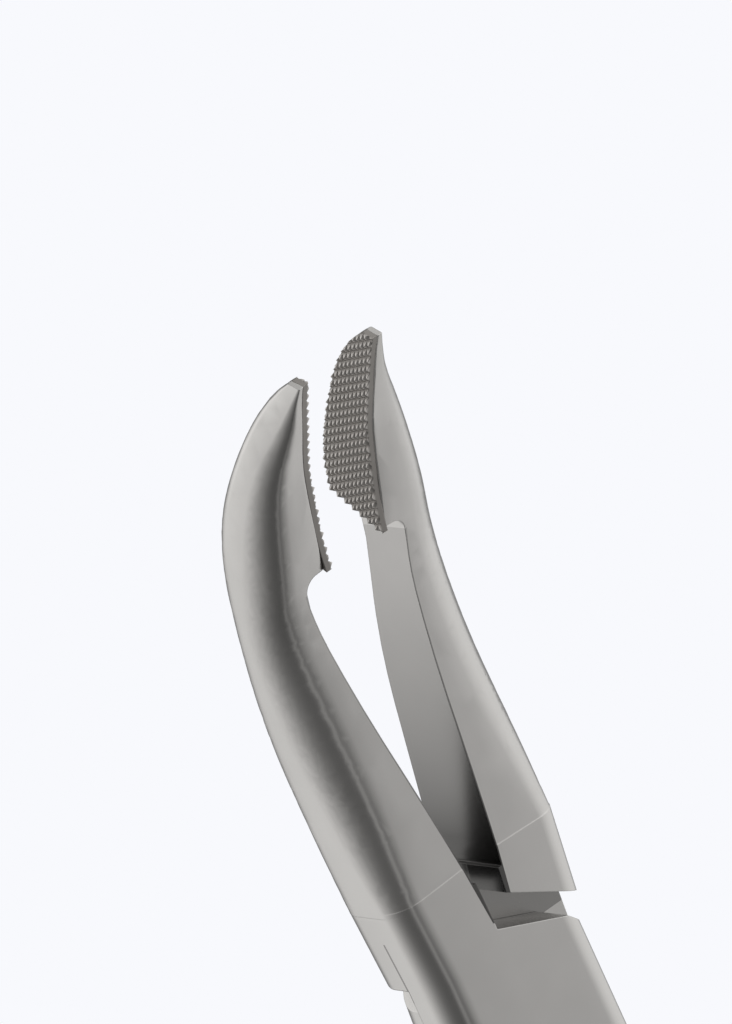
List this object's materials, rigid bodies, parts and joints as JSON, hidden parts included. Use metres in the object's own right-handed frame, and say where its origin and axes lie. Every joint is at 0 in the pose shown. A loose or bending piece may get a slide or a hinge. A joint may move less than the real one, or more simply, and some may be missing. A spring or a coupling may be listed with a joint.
{
  "type": "dental extraction forceps",
  "caption": "Satin steel extraction forceps with forward-bent beaks, serrated inserts, a lap joint and bowed handles.",
  "frame": {"origin": "on the flat underside of the lap joint, below the pivot axis", "axes": "+Z along the pivot axis, up as the forceps lie on a table; +Y from the pivot towards the beak tips; +X towards the rear half's beak"},
  "size_m": [0.044, 0.1712, 0.0152],
  "materials": {
    "forged_steel": "satin",
    "insert_steel": "matte",
    "screw_steel": "polished"
  },
  "bodies": {
    "rear_body": {"rear_half": "forged_steel", "rear_insert": "insert_steel", "pivot_screw": "screw_steel"},
    "front_body": {"front_half": "forged_steel", "front_insert": "insert_steel"}
  },
  "joints": [
    {"name": "pivot", "type": "hinge", "parent": "rear_body", "child": "front_body", "pos_m": [0, 0, 0], "axis": [0, 0, 1], "range_deg": [-5.4, 15]}
  ]
}
